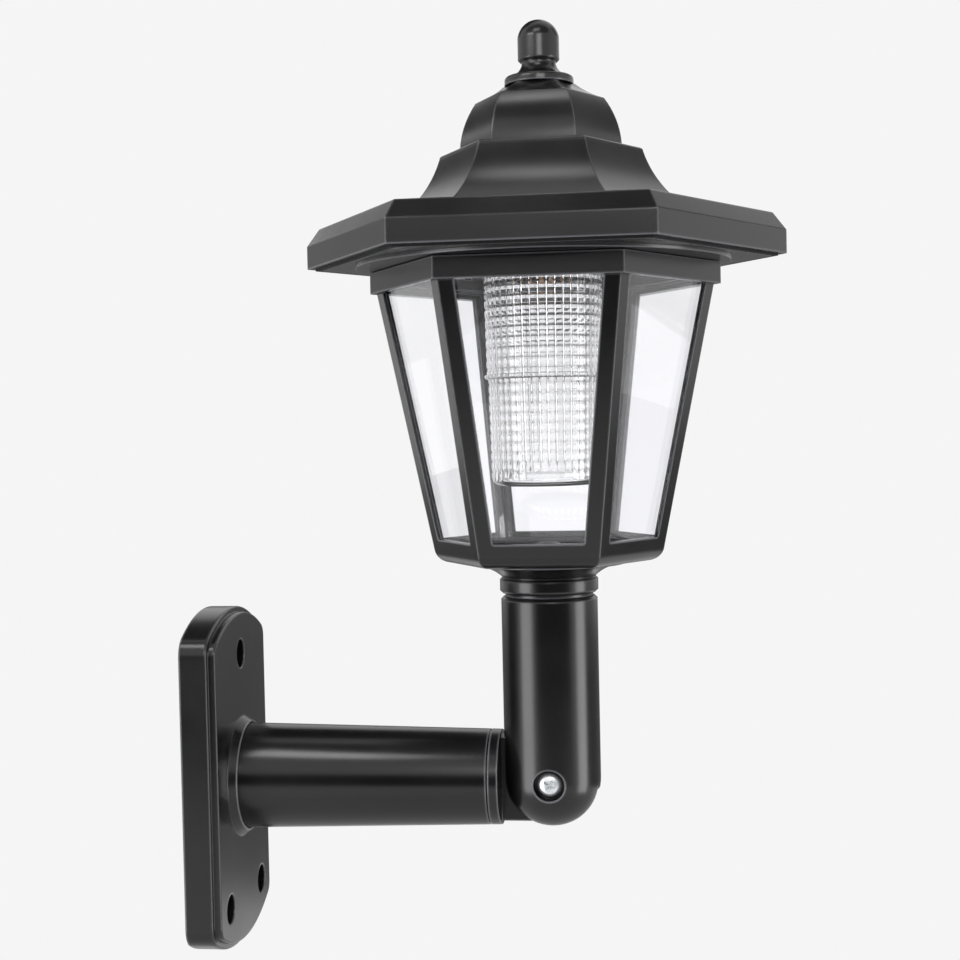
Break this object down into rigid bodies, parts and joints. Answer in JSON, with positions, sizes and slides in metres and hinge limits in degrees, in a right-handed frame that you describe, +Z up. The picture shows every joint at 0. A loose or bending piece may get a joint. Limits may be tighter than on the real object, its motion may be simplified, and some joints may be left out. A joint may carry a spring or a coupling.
{
  "type": "solar wall lantern",
  "caption": "Six-sided tapered wall lantern with a tiered roof, clear panes and a ribbed light cup, on a post that tilts at an elbow on a short arm and wall plate.",
  "frame": {"origin": "on the wall plane, at the axis of the arm", "axes": "+Z up, +Y into the wall, the arm runs out along -Y, +X to the right as seen from the room"},
  "size_m": [0.1256, 0.1799, 0.281],
  "materials": {
    "black_plastic": "satin moulded ABS",
    "clear_pane": "clear polished sheet",
    "clear_cup": "clear ribbed moulding",
    "zinc_steel": "bright zinc plate",
    "black_steel": "black oxide",
    "foam_seal": "closed-cell foam",
    "circuit_board": "solder resist",
    "lamp_lens": "warm clear epoxy",
    "battery_sleeve": "plain shrink sleeve",
    "solar_cell": "resin-coated silicon",
    "switch_case": "pressed steel can",
    "switch_slider": "moulded nylon"
  },
  "bodies": {
    "bracket": {"wall_plate": "black_plastic", "arm": "black_plastic", "arm_screws": "zinc_steel"},
    "post": {"post": "black_plastic", "elbow_screw": "zinc_steel", "elbow_nut": "zinc_steel"},
    "lantern": {"lantern_base": "black_plastic", "base_screw": "black_steel", "cage_frame": "black_plastic", "pane_1": "clear_pane", "pane_2": "clear_pane", "pane_3": "clear_pane", "pane_4": "clear_pane", "pane_5": "clear_pane", "pane_6": "clear_pane"},
    "roof": {"roof_shell": "black_plastic", "finial": "black_plastic", "finial_screw": "zinc_steel", "roof_gasket": "foam_seal", "roof_underplate": "black_plastic", "underplate_screws": "black_steel", "prism_tube": "clear_cup", "led_board": "circuit_board", "leds": "lamp_lens", "board_screws": "zinc_steel", "battery_tray": "black_plastic", "tray_screws": "zinc_steel", "battery": "battery_sleeve", "battery_contacts": "zinc_steel", "solar_panel": "solar_cell", "switch_body": "switch_case"},
    "switch": {"switch_knob": "switch_slider"}
  },
  "joints": [
    {"name": "elbow_hinge", "type": "hinge", "parent": "bracket", "child": "post", "pos_m": [0, -0.1074, 0], "axis": [1, 0, 0], "range_deg": [0, 90]},
    {"name": "head_swivel", "type": "hinge", "parent": "post", "child": "lantern", "pos_m": [0, -0.1074, 0.05], "axis": [0, 0, 1], "continuous": true},
    {"name": "roof_twist", "type": "hinge", "parent": "lantern", "child": "roof", "pos_m": [0, -0.1074, 0.15], "axis": [0, 0, 1], "range_deg": [0, 20]},
    {"name": "switch_slide", "type": "slide", "parent": "roof", "child": "switch", "axis": [1, 0, 0], "range_m": [0, 0.0025]}
  ]
}
